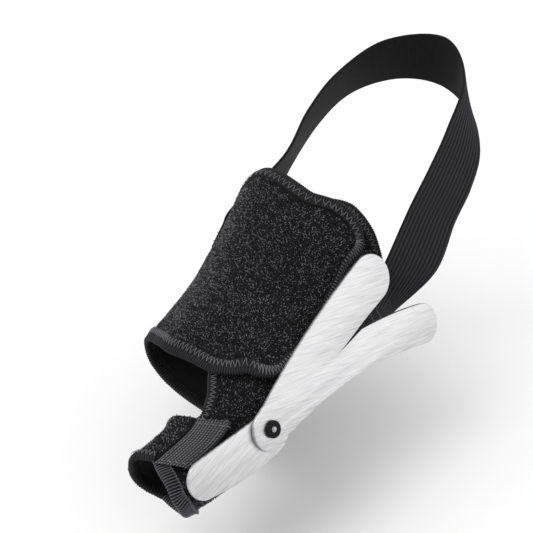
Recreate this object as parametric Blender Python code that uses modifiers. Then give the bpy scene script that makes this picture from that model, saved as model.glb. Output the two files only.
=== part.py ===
"""Bunion corrector: a plush cloth wrap round the ball of the foot with a sleeve for the big toe,
an elastic strap behind the heel, and two aluminium splints that turn on one rivet.

Metres. The sole lies in the XY plane, toes toward -X, the medial side of a right foot toward -Y,
+Z up. The origin is the middle of the hollow that the foot fills.
"""

import math

import bmesh
import bpy
import numpy as np
from mathutils import Matrix

MM = 0.001

# Foot form that the cloth follows
FOOT_LENGTH = 235 * MM
BALL_WIDTH = 82 * MM
INSTEP_HEIGHT = 66 * MM

# Cloth
CLOTH = 2.2 * MM
BINDING = 2.8 * MM
LAYER_GAP = 0.7 * MM
SEAM_GAP = 0.3 * MM
REAR_BAND = 5.6 * MM
FRONT_BAND = 6.4 * MM
END_BAND = 4.4 * MM
CUFF_BAND = 6.0 * MM
STRAP_BAND = 4.0 * MM

# Elastic and hook tape
ELASTIC = 1.6 * MM
ELASTIC_WIDTH = 23.5 * MM
TAPE = 1.2 * MM

# Splints
PLATE = 1.6 * MM
PLATE_GAP = 0.3 * MM
SPLINT_TILT = 30
TOE_REACH = 35.5 * MM
TOE_UPPER = 6.6 * MM
TOE_TIP = 7.7 * MM
TOE_HUB = 8.6 * MM
TOE_BOW = 1.4 * MM
HUB_RADIUS = 8.8 * MM
CROTCH_WIDTH = 0.8 * MM
# reach, rise in degrees, bow, half width at the rivet, half width at the end
UPPER_LEG = (78 * MM, 20, 2.0 * MM, 8.2 * MM, 10.0 * MM)
LOWER_LEG = (90 * MM, -2, 5.8 * MM, 7.6 * MM, 8.4 * MM)

# Rivet
SHANK_RADIUS = 1.2 * MM
HOLE_CLEARANCE = 0.3 * MM
FOOT_RADIUS = 3.2 * MM
FOOT_HEIGHT = 0.6 * MM
CROWN = 0.4 * MM
WASHER_RADIUS = 3.5 * MM
WASHER = 1.2 * MM
WASHER_EDGE = 0.35 * MM

# Foot sections: place along the foot as a share of FOOT_LENGTH, half widths and sideways shares of
# BALL_WIDTH, heights as shares of INSTEP_HEIGHT. Centre and lean are positive to the medial side.
# place, centre, medial, lateral, middle, rise, drop, lean, top_power, sole_power
SECTIONS = (
    (-0.300, -0.050, 0.370, 0.440, -0.06, 0.80, 0.39, -0.07, 2.0, 2.6),
    (-0.170, -0.060, 0.370, 0.440, -0.06, 0.69, 0.38, -0.09, 2.1, 2.7),
    (-0.085, -0.050, 0.370, 0.430, -0.06, 0.61, 0.38, -0.09, 2.3, 2.8),
    (0.000, -0.025, 0.400, 0.425, -0.09, 0.49, 0.36, -0.02, 2.2, 2.8),
    (0.085, 0.000, 0.450, 0.405, -0.14, 0.40, 0.32, 0.05, 2.1, 3.0),
    (0.170, 0.025, 0.480, 0.395, -0.18, 0.34, 0.28, 0.09, 2.1, 3.2),
    (0.243, 0.035, 0.490, 0.375, -0.23, 0.29, 0.24, 0.10, 2.1, 3.2),
    (0.310, 0.330, 0.200, 0.225, -0.24, 0.20, 0.21, 0.00, 2.0, 2.8),
    (0.365, 0.366, 0.165, 0.155, -0.24, 0.17, 0.19, 0.00, 2.0, 2.6),
    (0.500, 0.366, 0.160, 0.145, -0.24, 0.11, 0.11, 0.00, 2.0, 2.5),
)
RIVET_PLACE = 0.243

# Edges of the cloth: angle round the foot from the medial side over the instep, and the place of
# each edge there as a share of FOOT_LENGTH
SOLE_SEAM = -72
FLAP_END = 30
FLAP_SLANT = 18
LAP_START = 106
LAP_FULL = 148
# angle, rear edge, front edge
FLAP_EDGES = (
    (288, -0.080, 0.200),
    (230, -0.080, 0.200),
    (180, -0.080, 0.205),
    (140, -0.095, 0.232),
    (110, -0.101, 0.252),
    (80, -0.094, 0.249),
    (62, -0.116, 0.234),
    (46, -0.128, 0.208),
    (30, -0.122, 0.198),
)
# angle, rear edge, front edge
PANEL_EDGES = (
    (-100, -0.150, 0.405),
    (-50, -0.150, 0.414),
    (0, -0.156, 0.440),
    (30, -0.162, 0.446),
    (50, -0.152, 0.442),
    (64, -0.127, 0.438),
    (78, -0.085, 0.434),
    (122, -0.060, 0.412),
)
# place, lower edge angle, upper edge angle
PANEL_SIDES = (
    (-0.200, -72, 98),
    (0.200, -72, 98),
    (0.235, -72, 86),
    (0.265, -76, 82),
    (0.300, -84, 92),
    (0.345, -96, 112),
    (0.500, -100, 122),
)

# Toe strap: its edges as shares of FOOT_LENGTH, and where the hook tape takes over from the plush
STRAP_START = 259
TAPE_START = 94
TAPE_END = 56
TOE_LAP_START = 124
TOE_LAP_FULL = 160
# angle, rear edge, front edge
STRAP_EDGES = (
    (259, 0.335, 0.405),
    (200, 0.335, 0.430),
    (150, 0.335, 0.440),
    (110, 0.328, 0.434),
    (94, 0.322, 0.428),
    (56, 0.287, 0.396),
)

# Heel strap: centre of the ribbon behind the leg, as shares of FOOT_LENGTH, BALL_WIDTH and
# INSTEP_HEIGHT
# backward, medial, up, lean of the ribbon's face to the sky in degrees
HEEL_LOOP = (
    (0.178, 0.430, 0.18, 17),
    (0.228, 0.430, 0.47, 32),
    (0.272, 0.430, 0.67, 40),
    (0.324, 0.385, 0.84, 36),
    (0.391, 0.240, 0.97, 16),
    (0.430, 0.000, 1.02, 0),
    (0.391, -0.235, 0.97, 16),
    (0.328, -0.380, 0.83, 30),
    (0.275, -0.450, 0.64, 32),
    (0.215, -0.490, 0.36, 20),
)
HEEL_CENTRE = 0.250
# angle, place of the ribbon's centre where it is sewn on the cloth
MEDIAL_END = ((-12, -0.098), (-8, -0.122), (-3, -0.150))
LATERAL_END = ((175, -0.105), (180, -0.075), (186, -0.040))
SEWN_SPREAD = 15
SEWN_SHEAR = 0.025

# Faces across and along each sheet
FLAP_GRID = (32, 10)
PANEL_GRID = (18, 28)
TOE_GRID = (20, 5)
TAPE_GRID = (6, 6)
RIBBON_FACES = 4
SPAN_FACES = 4

PLUSH = (0.018, 0.018, 0.020)
RIBBON = (0.012, 0.012, 0.013)
ALUMINIUM = (0.80, 0.80, 0.81)
BLACK = (0.01, 0.01, 0.01)


def slopes(x, y):
    """Slopes of a smooth curve through the points that never overshoots them."""
    step = np.diff(x)
    rise = np.diff(y) / step
    slope = np.empty(len(x))
    slope[0], slope[-1] = rise[0], rise[-1]
    for i in range(1, len(x) - 1):
        same = rise[i - 1] * rise[i] > 0
        slope[i] = 2 / (1 / rise[i - 1] + 1 / rise[i]) if same else 0.0
    return slope


def through(table, column, at):
    """Value of a table's column at a place, on a smooth curve through its rows."""
    rows = sorted(table)
    x = np.array([row[0] for row in rows], float)
    y = np.array([row[column] for row in rows], float)
    at = min(max(at, x[0]), x[-1])
    i = min(int(np.searchsorted(x, at, side="right")) - 1, len(x) - 2)
    slope = slopes(x, y)
    width = x[i + 1] - x[i]
    s = (at - x[i]) / width
    return (
        y[i] * (1 + 2 * s) * (1 - s) ** 2
        + slope[i] * width * s * (1 - s) ** 2
        + y[i + 1] * s * s * (3 - 2 * s)
        + slope[i + 1] * width * s * s * (s - 1)
    )


def ease(x):
    x = min(max(x, 0.0), 1.0)
    return x * x * (3 - 2 * x)


def on_foot(angle, place, off=0.0):
    """Point on the foot form, raised from it by off. place is a share of FOOT_LENGTH."""
    centre, medial, lateral, middle, rise, drop, lean, top, sole = (
        through(SECTIONS, column, place) for column in range(1, 10)
    )
    cos, sin = math.cos(math.radians(angle)), math.sin(math.radians(angle))
    power = 2 / (top if sin >= 0 else sole)
    half = BALL_WIDTH * (medial if cos >= 0 else lateral) + off
    high = INSTEP_HEIGHT * (rise if sin >= 0 else drop) + off
    side = BALL_WIDTH * (centre + lean * max(sin, 0)) + math.copysign(abs(cos) ** power, cos) * half
    up = INSTEP_HEIGHT * middle + math.copysign(abs(sin) ** power, sin) * high
    return np.array((-place * FOOT_LENGTH, -side, up))


def splint_frame():
    """Rotation of the splints' plane, and its unit normal."""
    turn = Matrix.Rotation(math.radians(90 - SPLINT_TILT), 4, "X")
    return turn, np.array(turn.col[2][:3])


def rivet_seat():
    """The point on the cloth at the ball where the splints lie flat on it."""
    normal = splint_frame()[1]
    points = [on_foot(angle, RIVET_PLACE, CLOTH) for angle in range(0, 90, 2)]
    return max(points, key=lambda point: float(point @ normal))


def material(name, color, roughness, metallic=0.0):
    made = bpy.data.materials.new(name)
    made.use_nodes = True
    shader = made.node_tree.nodes["Principled BSDF"]
    shader.inputs["Base Color"].default_value = (*color, 1)
    shader.inputs["Roughness"].default_value = roughness
    shader.inputs["Metallic"].default_value = metallic
    return made


def add_object(name, data, finish, collection):
    obj = bpy.data.objects.new(name, data)
    data.materials.append(finish)
    collection.objects.link(obj)
    return obj


def cloth(name, rows, thickness, finish, collection):
    """A sheet through rows of points, thickened outward."""
    mesh = bpy.data.meshes.new(name)
    bm = bmesh.new()
    grid = [[bm.verts.new(point) for point in row] for row in rows]
    for upper, lower in zip(grid, grid[1:]):
        for i in range(len(upper) - 1):
            bm.faces.new((upper[i], upper[i + 1], lower[i + 1], lower[i]))
    bm.to_mesh(mesh)
    bm.free()
    mesh.shade_smooth()
    obj = add_object(name, mesh, finish, collection)
    solid = obj.modifiers.new("Thickness", "SOLIDIFY")
    solid.thickness = thickness
    solid.offset = 1
    solid.use_even_offset = True
    return obj


def steps(start, end, count):
    count = round(count)
    return [start + (end - start) * i / count for i in range(count + 1)]


def lap(angle, start=LAP_START, full=LAP_FULL):
    """Lift of a layer that lies on the panel at small angles and on the foot at large ones."""
    return (BINDING + LAYER_GAP) * ease((full - angle) / (full - start))


def turn(length, place):
    """Angle that a length spans round the top of the foot form at a place."""
    half = BALL_WIDTH * through(SECTIONS, 2, place) + INSTEP_HEIGHT * through(SECTIONS, 5, place)
    return math.degrees(2 * length / half)


def square_cut(angle, place):
    return angle


def flap_cut(angle, place):
    """The flap's end is cut on a slant: its rows turn back from the sole towards the front."""
    rear, front = through(FLAP_EDGES, 1, angle), through(FLAP_EDGES, 2, angle)
    share = min(max((place - rear) / (front - rear), 0), 1)
    return angle + FLAP_SLANT * ease((LAP_START - angle) / (LAP_START - FLAP_END)) * share**2


def layer_point(angle, place, lift, cut):
    angle = cut(angle, place)
    return on_foot(angle, place, lift(angle))


def edge_rows(edges, angles, rear_inset, front_inset, along, lift, cut=square_cut):
    """Rows from the rear edge to the front edge of a table of edges, both inset."""
    rows = []
    for angle in angles:
        rear = through(edges, 1, angle) + rear_inset / FOOT_LENGTH
        front = through(edges, 2, angle) - front_inset / FOOT_LENGTH
        rows.append([layer_point(angle, place, lift, cut) for place in steps(rear, front, along)])
    return rows


def band_rows(edges, front, width, angles, lift, cut=square_cut):
    """Rows of the band along the rear or the front edge of a table of edges."""
    rows = []
    for angle in angles:
        edge = through(edges, 2 if front else 1, angle)
        low = edge - (width if front else 0) / FOOT_LENGTH
        high = edge + (0 if front else width) / FOOT_LENGTH
        rows.append([layer_point(angle, place, lift, cut) for place in (low, high)])
    return rows


def make_flap(plush, ribbon, collection):
    start = 360 + SOLE_SEAM - turn(SEAM_GAP, 0) * 2
    end = FLAP_END + turn(END_BAND, 0)
    angles = steps(start, end + turn(SEAM_GAP, 0), FLAP_GRID[0])
    insets = (REAR_BAND + SEAM_GAP, FRONT_BAND + SEAM_GAP)
    rows = edge_rows(FLAP_EDGES, angles, *insets, FLAP_GRID[1], lap, flap_cut)
    cloth("wrap_flap", rows, CLOTH, plush, collection)
    rows = band_rows(FLAP_EDGES, False, REAR_BAND, angles, lap, flap_cut)
    cloth("flap_rear_band", rows, BINDING, ribbon, collection)
    rows = band_rows(FLAP_EDGES, True, FRONT_BAND, angles, lap, flap_cut)
    cloth("flap_front_band", rows, BINDING, ribbon, collection)
    rows = edge_rows(FLAP_EDGES, (end, FLAP_END), 0, 0, FLAP_GRID[1] + 2, lap, flap_cut)
    cloth("flap_end_band", rows, BINDING, ribbon, collection)


def panel_point(across, place_share, rear_inset, front_inset, upper_inset, upper_at=None):
    """Point of the panel: across from its sole edge to its upper edge, along from rear to front."""
    place = PANEL_EDGES[0][1] + (PANEL_EDGES[0][2] - PANEL_EDGES[0][1]) * place_share
    for _ in range(6):
        lower = through(PANEL_SIDES, 1, place)
        upper = through(PANEL_SIDES, 2, place)
        if upper_at is None:
            angle = lower + (upper - turn(upper_inset, place) - lower) * across
        else:
            angle = upper - turn(upper_at, place)
        rear = through(PANEL_EDGES, 1, angle) + rear_inset / FOOT_LENGTH
        front = through(PANEL_EDGES, 2, angle) - front_inset / FOOT_LENGTH
        place = rear + (front - rear) * place_share
    return on_foot(angle, place)


def make_panel(plush, ribbon, collection):
    inset = STRAP_BAND + SEAM_GAP
    ends = (REAR_BAND + SEAM_GAP, CUFF_BAND + SEAM_GAP)
    across_faces, along_faces = PANEL_GRID
    rows = [
        [panel_point(across, along, *ends, inset) for along in steps(0, 1, along_faces)]
        for across in steps(1, 0, across_faces)
    ]
    cloth("medial_panel", rows, CLOTH, plush, collection)
    rows = [
        [panel_point(0, along, *ends, 0, width) for along in steps(0, 1, along_faces)]
        for width in (0, STRAP_BAND)
    ]
    cloth("panel_web_band", rows, BINDING, ribbon, collection)
    for name, front, width in (("panel_rear_band", False, REAR_BAND), ("toe_cuff_band", True, CUFF_BAND)):
        place = 0.4 if front else -0.1
        angles = steps(through(PANEL_SIDES, 2, place), through(PANEL_SIDES, 1, place), across_faces + 2)
        rows = band_rows(PANEL_EDGES, front, width, angles, lambda angle: 0)
        cloth(name, rows, BINDING, ribbon, collection)


def toe_lap(angle):
    return lap(angle, TOE_LAP_START, TOE_LAP_FULL)


def make_toe_strap(plush, ribbon, woven, collection):
    angles = steps(STRAP_START, TAPE_START + turn(SEAM_GAP, 0.4), TOE_GRID[0])
    rows = edge_rows(STRAP_EDGES, angles, 0, STRAP_BAND + SEAM_GAP, TOE_GRID[1], toe_lap)
    cloth("toe_strap", rows, CLOTH, plush, collection)
    rows = band_rows(STRAP_EDGES, True, STRAP_BAND, angles, toe_lap)
    cloth("toe_strap_band", rows, BINDING, ribbon, collection)
    rows = edge_rows(STRAP_EDGES, steps(TAPE_START, TAPE_END, TAPE_GRID[0]), 0, 0, TAPE_GRID[1], toe_lap)
    cloth("hook_tape", rows, TAPE, woven, collection)


def heel_stations():
    """Rows across the ribbon, from its upper edge to its lower edge, at its few stations."""
    across = steps(1, -1, RIBBON_FACES)
    lift = BINDING + LAYER_GAP + SEAM_GAP
    stations = []
    for angle, place in MEDIAL_END:
        stations.append([on_foot(angle + SEWN_SPREAD * k, place + SEWN_SHEAR * k, lift) for k in across])
    loop = [
        np.array((back * FOOT_LENGTH, -side * BALL_WIDTH, up * INSTEP_HEIGHT))
        for back, side, up, _ in HEEL_LOOP
    ]
    for i, centre in enumerate(loop):
        before = loop[i - 1] if i else on_foot(*MEDIAL_END[-1], lift)
        after = loop[i + 1] if i + 1 < len(loop) else on_foot(*LATERAL_END[0], lift)
        along = after - before
        outward = centre - np.array((HEEL_CENTRE * FOOT_LENGTH, 0, centre[2]))
        lean = math.radians(HEEL_LOOP[i][3])
        face = outward / np.linalg.norm(outward) * math.cos(lean) + np.array((0, 0, math.sin(lean)))
        width = np.cross(along, face)
        width *= math.copysign(1, width[2]) * ELASTIC_WIDTH / 2 / np.linalg.norm(width)
        stations.append([centre + width * k for k in across])
    for angle, place in LATERAL_END:
        row = [(angle - SEWN_SPREAD * k, place + SEWN_SHEAR * k) for k in across]
        stations.append([on_foot(*spot, lift + lap(spot[0])) for spot in row])
    return np.array(stations)


def make_heel_strap(webbing, collection):
    stations = heel_stations()
    rows = []
    for i in range(len(stations) - 1):
        p0 = stations[max(i - 1, 0)]
        p1, p2 = stations[i], stations[i + 1]
        p3 = stations[min(i + 2, len(stations) - 1)]
        for s in steps(0, 1, SPAN_FACES)[:-1]:
            bend = (2 * p0 - 5 * p1 + 4 * p2 - p3) * s * s + (3 * (p1 - p2) + p3 - p0) * s**3
            rows.append(p1 + ((p2 - p0) * s + bend) / 2)
    rows.append(stations[-1])
    cloth("heel_strap", rows, ELASTIC, webbing, collection)


def arc(centre, radius, start, end, count):
    return [
        (centre[0] + radius * math.cos(math.radians(a)), centre[1] + radius * math.sin(math.radians(a)))
        for a in steps(start, end, count)
    ]


def leg_edges(reach, rise, bow, root, end, count=16):
    """A splint leg that leaves the rivet and bows: its right edge, left edge, end and direction."""
    cos, sin = math.cos(math.radians(rise)), math.sin(math.radians(rise))
    line = []
    for s in steps(0, 1, count):
        along, off = reach * s, bow * 4 * s * (1 - s)
        line.append(np.array((along * cos - off * sin, along * sin + off * cos)))
    right, left = [], []
    for i, point in enumerate(line):
        way = line[min(i + 1, count)] - line[max(i - 1, 0)]
        way /= np.linalg.norm(way)
        side = np.array((-way[1], way[0])) * (root + (end - root) * i / count)
        right.append(point - side)
        left.append(point + side)
    return np.array(right), np.array(left), line[-1], math.degrees(math.atan2(way[1], way[0]))


def fork_outline():
    upper_right, upper_left, upper_end, upper_way = leg_edges(*UPPER_LEG)
    lower_right, lower_left, lower_end, lower_way = leg_edges(*LOWER_LEG)
    span = np.linspace(UPPER_LEG[0], HUB_RADIUS, 200)
    between = np.interp(span, *upper_right.T) - np.interp(span, *lower_left.T)
    crotch = span[int(np.argmax(between < CROTCH_WIDTH))]
    points = [point for point in lower_right if point[0] > HUB_RADIUS][:-1]
    points += arc(lower_end, LOWER_LEG[4], lower_way - 90, lower_way + 90, 12)
    points += [point for point in lower_left[-2::-1] if point[0] > crotch]
    points += [point for point in upper_right[:-1] if point[0] > crotch]
    points += arc(upper_end, UPPER_LEG[4], upper_way - 90, upper_way + 90, 12)
    points += [point for point in upper_left[-2::-1] if point[0] > 0]
    points += arc((0, 0), HUB_RADIUS, UPPER_LEG[1] + 100, 318, 14)
    return points


def toe_outline():
    hub, tip = TOE_UPPER - TOE_HUB, TOE_UPPER - TOE_TIP
    share = np.linspace(0, 1, 9)[1:-1]
    fall = (tip - TOE_TIP) * (1 - share) + (hub - TOE_HUB) * share
    lower = np.column_stack((-TOE_REACH * (1 - share), fall - TOE_BOW * 4 * share * (1 - share)))
    points = arc((0, hub), TOE_HUB, -90, 90, 12)
    points += arc((-TOE_REACH, tip), TOE_TIP, 90, 270, 14)
    points += [tuple(point) for point in lower.tolist()]
    return points


def plate(name, outline, height, finish, collection):
    """A flat plate with a hole for the rivet, its underside at a height above the rivet's seat."""
    curve = bpy.data.curves.new(name, "CURVE")
    curve.dimensions = "2D"
    curve.fill_mode = "BOTH"
    curve.extrude = PLATE / 2
    hole = arc((0, 0), SHANK_RADIUS + HOLE_CLEARANCE, 0, 330, 11)
    for points in (outline, hole):
        spline = curve.splines.new("POLY")
        spline.points.add(len(points) - 1)
        for knot, (x, y) in zip(spline.points, points):
            knot.co = (x, y, 0, 1)
        spline.use_cyclic_u = True
    obj = add_object(name, curve, finish, collection)
    seat_on_splint(obj, height + PLATE / 2)
    return obj


def seat_on_splint(obj, height):
    rotation, normal = splint_frame()
    obj.matrix_world = Matrix.Translation(rivet_seat() + normal * height) @ rotation


def turned(name, profile, height, finish, collection):
    """A turned piece on the rivet's axis. The profile runs down its outer side."""
    mesh = bpy.data.meshes.new(name)
    bm = bmesh.new()
    knots = [bm.verts.new((radius, 0, z)) for radius, z in profile]
    for first, second in zip(knots, knots[1:]):
        bm.edges.new((first, second))
    bm.to_mesh(mesh)
    bm.free()
    obj = add_object(name, mesh, finish, collection)
    screw = obj.modifiers.new("Turn", "SCREW")
    screw.steps = 20
    screw.render_steps = 20
    screw.use_merge_vertices = True
    screw.merge_threshold = 0.00001
    seat_on_splint(obj, height)
    return obj


def make_splints(metal, black, collection):
    toe_height = PLATE_GAP + FOOT_HEIGHT + PLATE_GAP
    fork_height = toe_height + PLATE + PLATE_GAP
    washer_height = fork_height + PLATE + PLATE_GAP
    plate("toe_splint", toe_outline(), toe_height, metal, collection)
    plate("fork_splint", fork_outline(), fork_height, metal, collection)
    hole = SHANK_RADIUS + HOLE_CLEARANCE
    ring = (
        (hole, WASHER),
        (WASHER_RADIUS - WASHER_EDGE, WASHER),
        (WASHER_RADIUS, WASHER - WASHER_EDGE),
        (WASHER_RADIUS, 0),
        (hole, 0),
        (hole, WASHER),
    )
    turned("rivet_washer", ring, washer_height, black, collection)
    top = washer_height + WASHER
    pin = (
        (0, top + CROWN),
        (SHANK_RADIUS * 0.7, top + CROWN * 0.7),
        (SHANK_RADIUS, top),
        (SHANK_RADIUS, PLATE_GAP + FOOT_HEIGHT),
        (FOOT_RADIUS, PLATE_GAP + FOOT_HEIGHT),
        (FOOT_RADIUS, PLATE_GAP),
        (0, PLATE_GAP),
    )
    turned("rivet", pin, 0, metal, collection)


def main():
    for obj in list(bpy.data.objects):
        bpy.data.objects.remove(obj, do_unlink=True)
    collection = bpy.data.collections.new("bunion_corrector")
    bpy.context.scene.collection.children.link(collection)
    plush = material("black plush", PLUSH, 0.95)
    ribbon = material("black ribbed ribbon", RIBBON, 0.8)
    webbing = material("black ribbed elastic", RIBBON, 0.85)
    woven = material("black hook tape", RIBBON, 0.7)
    metal = material("brushed aluminium", ALUMINIUM, 0.35, 1.0)
    black = material("black washer", BLACK, 0.5)
    make_flap(plush, ribbon, collection)
    make_panel(plush, ribbon, collection)
    make_toe_strap(plush, ribbon, woven, collection)
    make_heel_strap(webbing, collection)
    make_splints(metal, black, collection)


main()
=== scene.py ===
import math

import bmesh
import bpy
import numpy as np
from mathutils import Matrix, Vector


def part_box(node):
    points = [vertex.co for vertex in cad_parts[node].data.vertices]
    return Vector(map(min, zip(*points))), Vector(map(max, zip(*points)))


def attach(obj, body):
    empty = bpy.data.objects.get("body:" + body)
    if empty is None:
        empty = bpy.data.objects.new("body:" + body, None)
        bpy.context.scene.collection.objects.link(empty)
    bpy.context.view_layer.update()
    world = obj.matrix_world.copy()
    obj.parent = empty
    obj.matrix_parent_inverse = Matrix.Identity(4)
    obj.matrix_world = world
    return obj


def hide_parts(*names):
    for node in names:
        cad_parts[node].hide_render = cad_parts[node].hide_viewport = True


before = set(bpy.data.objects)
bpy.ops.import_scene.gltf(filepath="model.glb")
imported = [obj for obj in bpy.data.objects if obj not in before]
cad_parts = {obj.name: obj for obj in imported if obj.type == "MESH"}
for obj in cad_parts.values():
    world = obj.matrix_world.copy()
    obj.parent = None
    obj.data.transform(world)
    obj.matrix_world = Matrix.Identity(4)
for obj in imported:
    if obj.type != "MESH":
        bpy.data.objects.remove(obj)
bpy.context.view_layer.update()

# Medial panel: the main piece of loop-pile plush, cut in one with the sleeve of the big toe.
# A knitted backing carries a dense pile of small brushed loops, laminated to a jersey lining.
# It is steamed to the form of the foot, and everything else is sewn or riveted to it.

MM = 0.001
FOOT_LENGTH = 235 * MM
BALL_WIDTH = 82 * MM
INSTEP_HEIGHT = 66 * MM
# place, centre, medial, lateral, middle, rise, drop, lean, top power, sole power
SECTIONS = (
    (-0.300, -0.050, 0.370, 0.440, -0.06, 0.80, 0.39, -0.07, 2.0, 2.6),
    (-0.170, -0.060, 0.370, 0.440, -0.06, 0.69, 0.38, -0.09, 2.1, 2.7),
    (-0.085, -0.050, 0.370, 0.430, -0.06, 0.61, 0.38, -0.09, 2.3, 2.8),
    (0.000, -0.025, 0.400, 0.425, -0.09, 0.49, 0.36, -0.02, 2.2, 2.8),
    (0.085, 0.000, 0.450, 0.405, -0.14, 0.40, 0.32, 0.05, 2.1, 3.0),
    (0.170, 0.025, 0.480, 0.395, -0.18, 0.34, 0.28, 0.09, 2.1, 3.2),
    (0.243, 0.035, 0.490, 0.375, -0.23, 0.29, 0.24, 0.10, 2.1, 3.2),
    (0.310, 0.330, 0.200, 0.225, -0.24, 0.20, 0.21, 0.00, 2.0, 2.8),
    (0.365, 0.366, 0.165, 0.155, -0.24, 0.17, 0.19, 0.00, 2.0, 2.6),
    (0.500, 0.366, 0.160, 0.145, -0.24, 0.11, 0.11, 0.00, 2.0, 2.5),
)
# angle, rear edge, front edge
PANEL_EDGES = (
    (-100, -0.150, 0.405),
    (-50, -0.150, 0.414),
    (0, -0.156, 0.440),
    (30, -0.162, 0.446),
    (50, -0.152, 0.442),
    (64, -0.127, 0.438),
    (78, -0.085, 0.434),
    (122, -0.060, 0.412),
)
# place, lower edge angle, upper edge angle
PANEL_SIDES = (
    (-0.200, -72, 98),
    (0.200, -72, 98),
    (0.235, -72, 86),
    (0.265, -76, 82),
    (0.300, -84, 92),
    (0.345, -96, 112),
    (0.500, -100, 122),
)
REAR_BAND = 5.6 * MM
CUFF_BAND = 6.0 * MM
STRAP_BAND = 4.0 * MM
SEAM_GAP = 0.3 * MM
BOUND_INSET = 1.3 * MM
BARE_MARGIN = 0.2 * MM
RIPPLE = 0.10 * MM
BACKING = (0.6 * MM, 1.55 * MM)
# name, spacing and width of the loops
PILE_LAYERS = (("_pile", 0.66 * MM, 0.58 * MM), ("_fine_pile", 0.76 * MM, 0.42 * MM))
PILE_HEIGHT = 0.62 * MM
PILE_THREAD = 0.12 * MM
MESH_STEP = 1.6 * MM
# lowest angle, rear and front place of the panel's bare part under the flap
UNDER_FLAP = (52, -0.06, 0.19)
# angle where the sole begins, and the pile's density there
PANEL_SOLE = (-40, 0.45)


def through(table, column, at):
    """Value of a table's column at places, on a smooth curve through its rows."""
    rows = np.array(sorted(table), float)
    x, y = rows[:, 0], rows[:, column]
    rise = np.diff(y) / np.diff(x)
    slope = np.concatenate((rise[:1], np.zeros(len(x) - 2), rise[-1:]))
    for i in range(1, len(x) - 1):
        if rise[i - 1] * rise[i] > 0:
            slope[i] = 2 / (1 / rise[i - 1] + 1 / rise[i])
    at = np.clip(at, x[0], x[-1])
    i = np.clip(np.searchsorted(x, at, side="right") - 1, 0, len(x) - 2)
    width = x[i + 1] - x[i]
    s = (at - x[i]) / width
    return (
        y[i] * (1 + 2 * s) * (1 - s) ** 2
        + slope[i] * width * s * (1 - s) ** 2
        + y[i + 1] * s * s * (3 - 2 * s)
        + slope[i + 1] * width * s * s * (s - 1)
    )


def on_foot(angle, place, off=0.0):
    """Points on the foot form, raised from it by off."""
    centre, medial, lateral, middle, rise, drop, lean, top, sole = (
        through(SECTIONS, column, place) for column in range(1, 10)
    )
    cos, sin = np.cos(np.radians(angle)), np.sin(np.radians(angle))
    power = 2 / np.where(sin >= 0, top, sole)
    half = BALL_WIDTH * np.where(cos >= 0, medial, lateral) + off
    high = INSTEP_HEIGHT * np.where(sin >= 0, rise, drop) + off
    side = BALL_WIDTH * (centre + lean * np.maximum(sin, 0)) + np.sign(cos) * np.abs(cos) ** power * half
    up = INSTEP_HEIGHT * middle + np.sign(sin) * np.abs(sin) ** power * high
    along = -place * FOOT_LENGTH + 0 * side
    return np.stack((along, -side, up), -1)


def no_lift(angle, place):
    return 0.0 * angle


def unit(vectors):
    return vectors / np.maximum(np.linalg.norm(vectors, axis=-1, keepdims=True), 1e-12)


def tangents(angle, place, lift):
    """Change of the point for each degree and for each share of the length, and the normal."""
    turn, step = 0.4, 0.002
    by_angle = on_foot(angle + turn, place, lift(angle + turn, place))
    by_angle = (by_angle - on_foot(angle - turn, place, lift(angle - turn, place))) / (2 * turn)
    by_place = on_foot(angle, place + step, lift(angle, place + step))
    by_place = (by_place - on_foot(angle, place - step, lift(angle, place - step))) / (2 * step)
    return by_angle, by_place, unit(np.cross(by_angle, by_place))


def on_cloth(angle, place, height, lift=no_lift):
    """Points at a height over the foot form, square to it. The pull of the seams ripples it."""
    angle, place, height = np.broadcast_arrays(angle, place, height)
    ripple = RIPPLE * np.sin(place * 190 + angle * 0.11) * np.sin(angle * 0.35 + place * 41)
    return on_foot(angle, place, lift(angle, place)) + tangents(angle, place, lift)[2] * (
        height + ripple
    )[..., None]


def spread(start, end, place, step=MESH_STEP):
    """Angles from start to end that lie evenly round the foot form at a place."""
    fine = np.linspace(start, end, 600)
    length = np.linalg.norm(np.diff(on_foot(fine, place), axis=0), axis=1)
    length = np.concatenate(([0], np.cumsum(length)))
    count = max(int(length[-1] / step), 2)
    return np.interp(np.linspace(0, length[-1], count + 1), length, fine)


def run_of(points, axis):
    """Distance run along an axis of a grid of points, in millimetres."""
    step = np.linalg.norm(np.diff(points, axis=axis), axis=-1)
    start = np.zeros_like(np.take(step, [0], axis=axis))
    return np.concatenate((start, np.cumsum(step, axis=axis)), axis=axis) / MM


def link(name, mesh):
    made = bpy.data.objects.new(name, mesh)
    bpy.context.scene.collection.objects.link(made)
    return made


def set_flat(mesh, pairs):
    """Each point's place on the piece laid flat, in millimetres, as the mesh's UV map."""
    layer = mesh.uv_layers.new(name="flat_mm")
    corners = np.empty(len(mesh.loops), np.int32)
    mesh.loops.foreach_get("vertex_index", corners)
    layer.data.foreach_set("uv", np.asarray(pairs, np.float32)[corners].ravel())


def store(mesh, name, values):
    """A number or a vector for each point, as an attribute."""
    values = np.asarray(values, np.float32)
    kind, field = ("FLOAT_VECTOR", "vector") if values.ndim > 1 else ("FLOAT", "value")
    mesh.attributes.new(name, kind, "POINT").data.foreach_set(field, values.ravel())


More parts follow.
